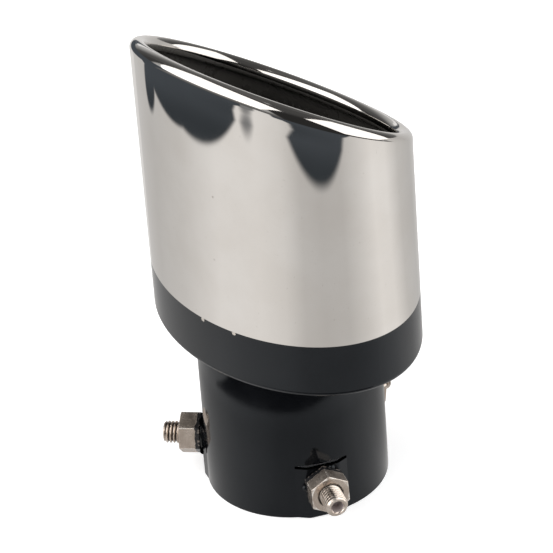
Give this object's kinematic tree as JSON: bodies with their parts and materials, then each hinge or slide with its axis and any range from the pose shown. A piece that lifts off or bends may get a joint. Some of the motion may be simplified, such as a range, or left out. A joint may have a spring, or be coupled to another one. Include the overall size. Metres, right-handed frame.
{
  "type": "exhaust tip",
  "caption": "Oval exhaust tip with a slanted rolled lip and a black inlet neck that clamps on a tailpipe with radial set screws.",
  "frame": {"origin": "centre of the inlet neck's open lower end, on the neck's axis", "axes": "+Z along the neck to the mouth; X along the oval's long axis; Y along its short axis; the mouth is highest at -Y"},
  "size_m": [0.1162, 0.0852, 0.1711],
  "materials": {
    "polished_steel": "polished stainless steel, black inside",
    "black_paint": "semi-gloss black paint on steel",
    "plated_steel": "plated steel, satin",
    "weld_metal": "small welds under black paint"
  },
  "bodies": {
    "tip": {"polished_sleeve": "polished_steel", "shoulder_cup": "black_paint", "inlet_neck": "black_paint", "neck_weld": "black_paint", "clamp_nut_1": "plated_steel", "nut_tacks_1": "weld_metal", "clamp_nut_2": "plated_steel", "nut_tacks_2": "weld_metal", "clamp_nut_3": "plated_steel", "nut_tacks_3": "weld_metal"},
    "set_screw_1": {"clamp_screw_1": "plated_steel"},
    "set_screw_2": {"clamp_screw_2": "plated_steel"},
    "set_screw_3": {"clamp_screw_3": "plated_steel"}
  },
  "joints": [
    {"name": "screw_travel_1", "type": "slide", "parent": "tip", "child": "set_screw_1", "axis": [-0.9659, 0.2588, 0], "range_m": [-0.004, 0.0077]},
    {"name": "screw_travel_2", "type": "slide", "parent": "tip", "child": "set_screw_2", "axis": [0.2588, -0.9659, 0], "range_m": [-0.004, 0.006]},
    {"name": "screw_travel_3", "type": "slide", "parent": "tip", "child": "set_screw_3", "axis": [0.6428, 0.766, 0], "range_m": [-0.004, 0.006]}
  ]
}
